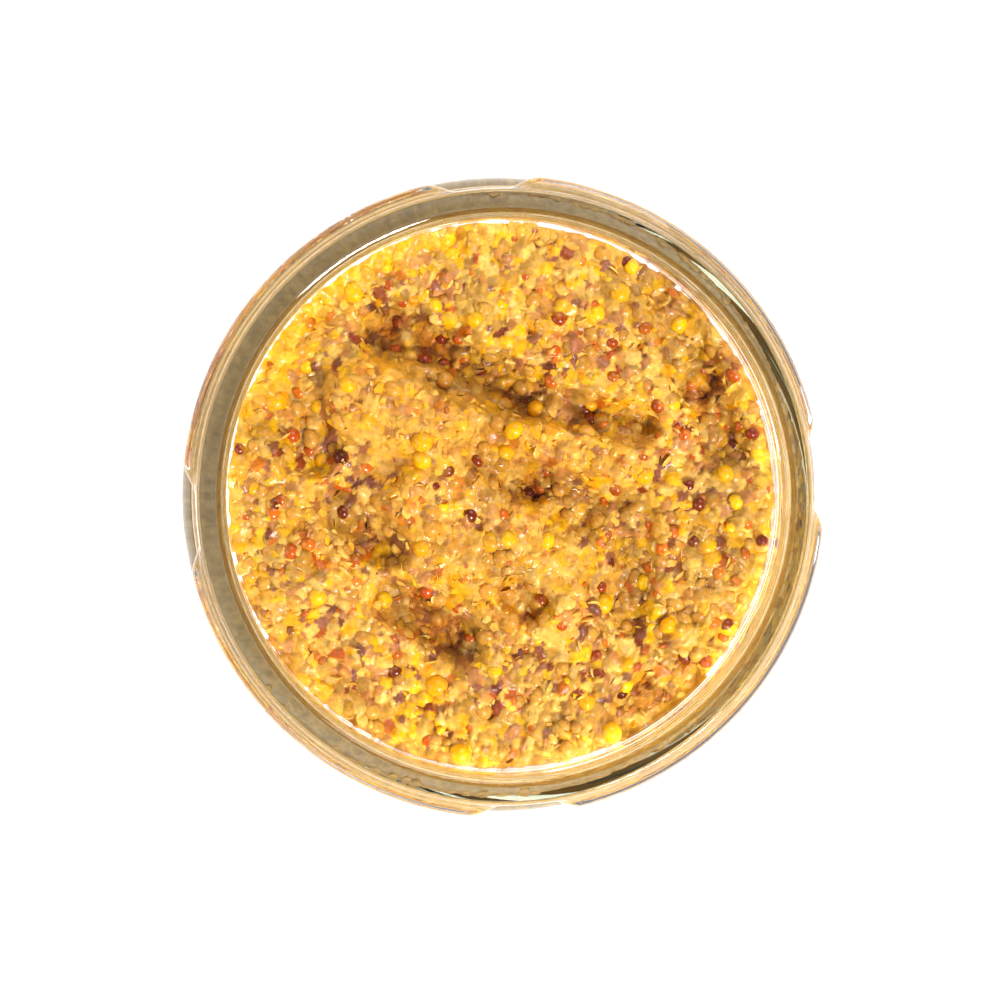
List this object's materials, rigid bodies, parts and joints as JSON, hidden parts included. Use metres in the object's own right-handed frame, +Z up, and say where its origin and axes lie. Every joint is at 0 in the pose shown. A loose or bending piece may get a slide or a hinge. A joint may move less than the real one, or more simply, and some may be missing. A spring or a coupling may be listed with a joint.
{
  "type": "open jar of wholegrain mustard",
  "caption": "Round clear glass jar with a lug finish, open and without its lid, filled to below the lip with coarse wholegrain mustard that a spoon has stirred into ridges.",
  "frame": {"origin": "middle of the face that the jar stands on", "axes": "+Z up out of the mouth; +X and +Y are two level axes a quarter turn apart, each near the gap between two lugs"},
  "size_m": [0.0706, 0.0706, 0.08],
  "materials": {
    "jar_glass": "clear moulded glass with a faint green tint",
    "wholegrain_mustard": "wet coarse mustard paste with whole and broken seeds (gloss_plastic stands in for food)"
  },
  "bodies": {
    "root": {"glass_jar": "jar_glass", "mustard": "wholegrain_mustard"}
  },
  "joints": []
}
